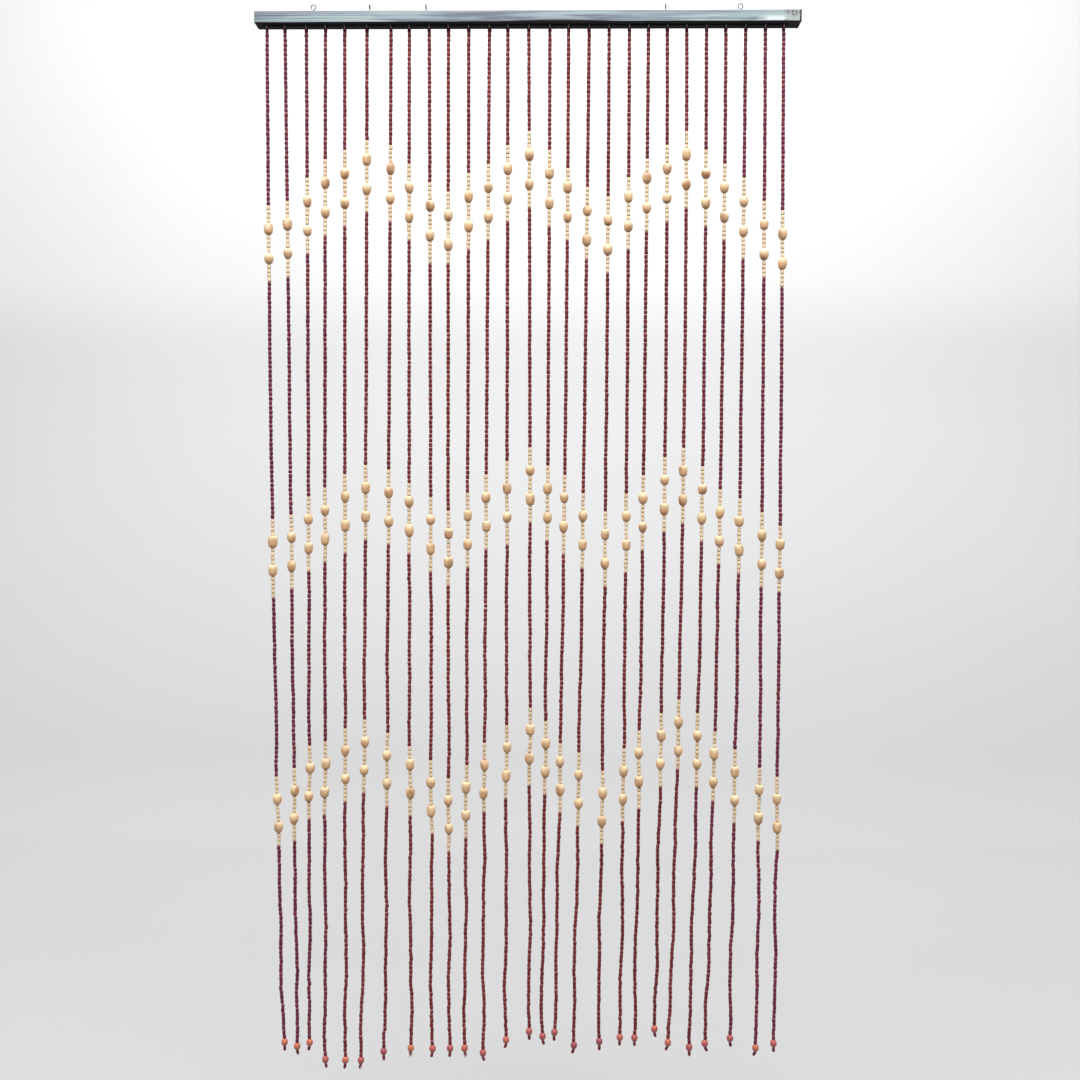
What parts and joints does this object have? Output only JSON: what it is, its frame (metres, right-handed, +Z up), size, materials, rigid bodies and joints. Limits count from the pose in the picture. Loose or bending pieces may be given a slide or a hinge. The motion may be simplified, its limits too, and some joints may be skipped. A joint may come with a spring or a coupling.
{
  "type": "bead curtain with wooden rail",
  "caption": "String curtain of small dark wooden beads with zigzag bands of light beads, hung from a black-painted wooden rail with screw eyes.",
  "frame": {"origin": "middle of the rail's back face", "axes": "+X along the rail to the viewer's right, +Y out of the back of the rail towards the wall, +Z up"},
  "size_m": [0.9, 0.03, 1.8002],
  "materials": {
    "black_paint": "gloss black paint over planed wood, brushed along the bar",
    "steel": "dull plated wire",
    "stained_wood": "small turned beads stained mahogany, satin",
    "light_wood": "pale turned beads, clear satin lacquer",
    "red_wood": "round end beads stained orange red, satin",
    "thread": "thin twisted polyester thread"
  },
  "bodies": {
    "root": {"rail": "black_paint", "screw_eye_1": "steel", "screw_eye_2": "steel", "screw_eye_3": "steel", "screw_eye_4": "steel", "screw_eye_5": "steel", "strands": "stained_wood"}
  },
  "joints": []
}
